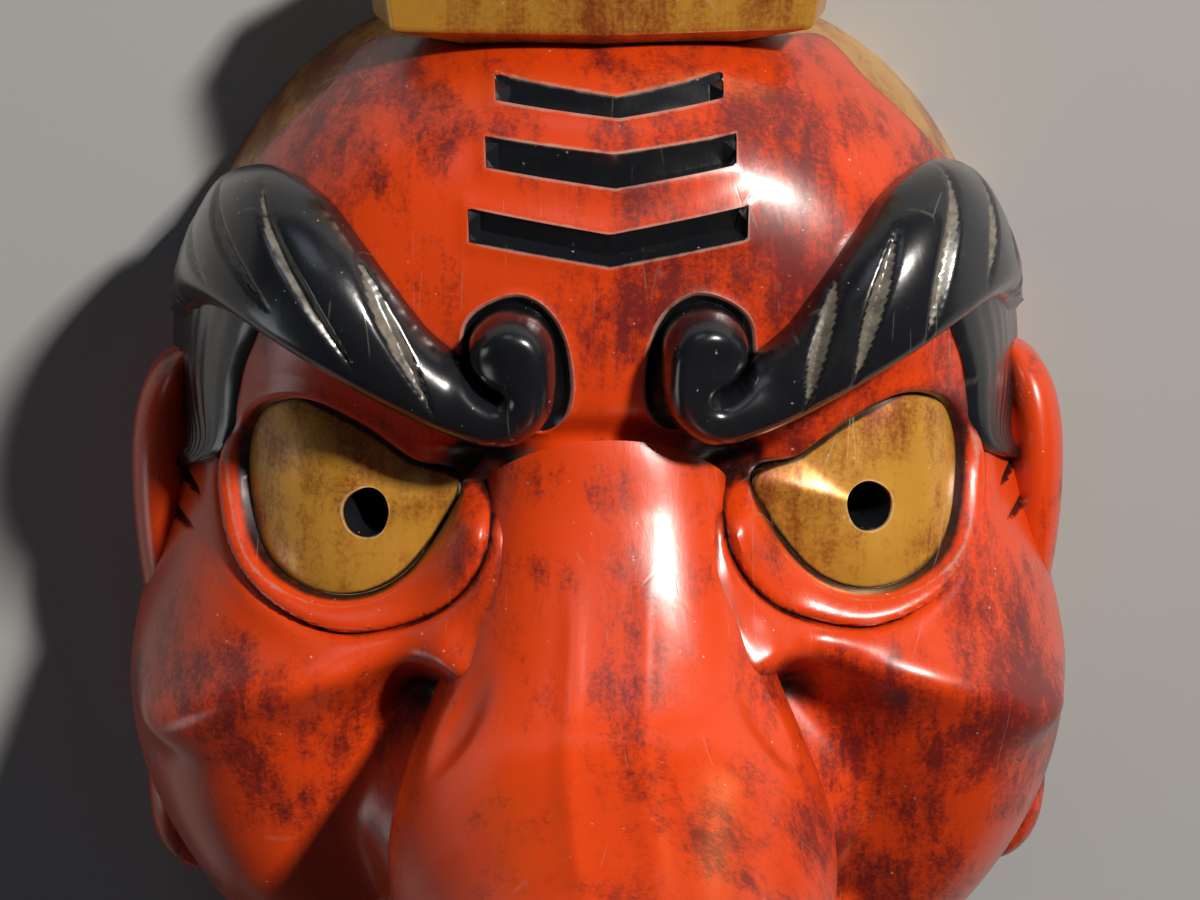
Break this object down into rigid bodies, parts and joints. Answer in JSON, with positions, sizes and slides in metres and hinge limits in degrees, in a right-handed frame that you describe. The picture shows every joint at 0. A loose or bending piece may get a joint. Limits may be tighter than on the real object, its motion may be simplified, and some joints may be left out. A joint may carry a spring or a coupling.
{
  "type": "long-nosed tengu mask",
  "caption": "Carved, lacquered wooden mask with a long round nose, curled brows, pierced eyes, long ears and a faceted cap; hollow behind.",
  "frame": {"origin": "on the plane of the back rim, under the middle of the whole mask", "axes": "+Z out of the face, the way the nose points; +Y towards the crown; +X to the right as the face is seen from the front. The mask lies on its back rim."},
  "size_m": [0.2174, 0.2841, 0.24],
  "materials": {
    "red_lacquer": "glossy vermilion lacquer over wood, smudged darker in the hollows and worn pale on the edges",
    "black_lacquer": "glossy black lacquer over wood, finely scratched",
    "gold_lacquer": "brownish gold lacquer over wood, worn to red in places",
    "bare_wood": "plain carved wood, thinly stained, on the inside"
  },
  "bodies": {
    "root": {"mask": "red_lacquer"}
  },
  "joints": []
}
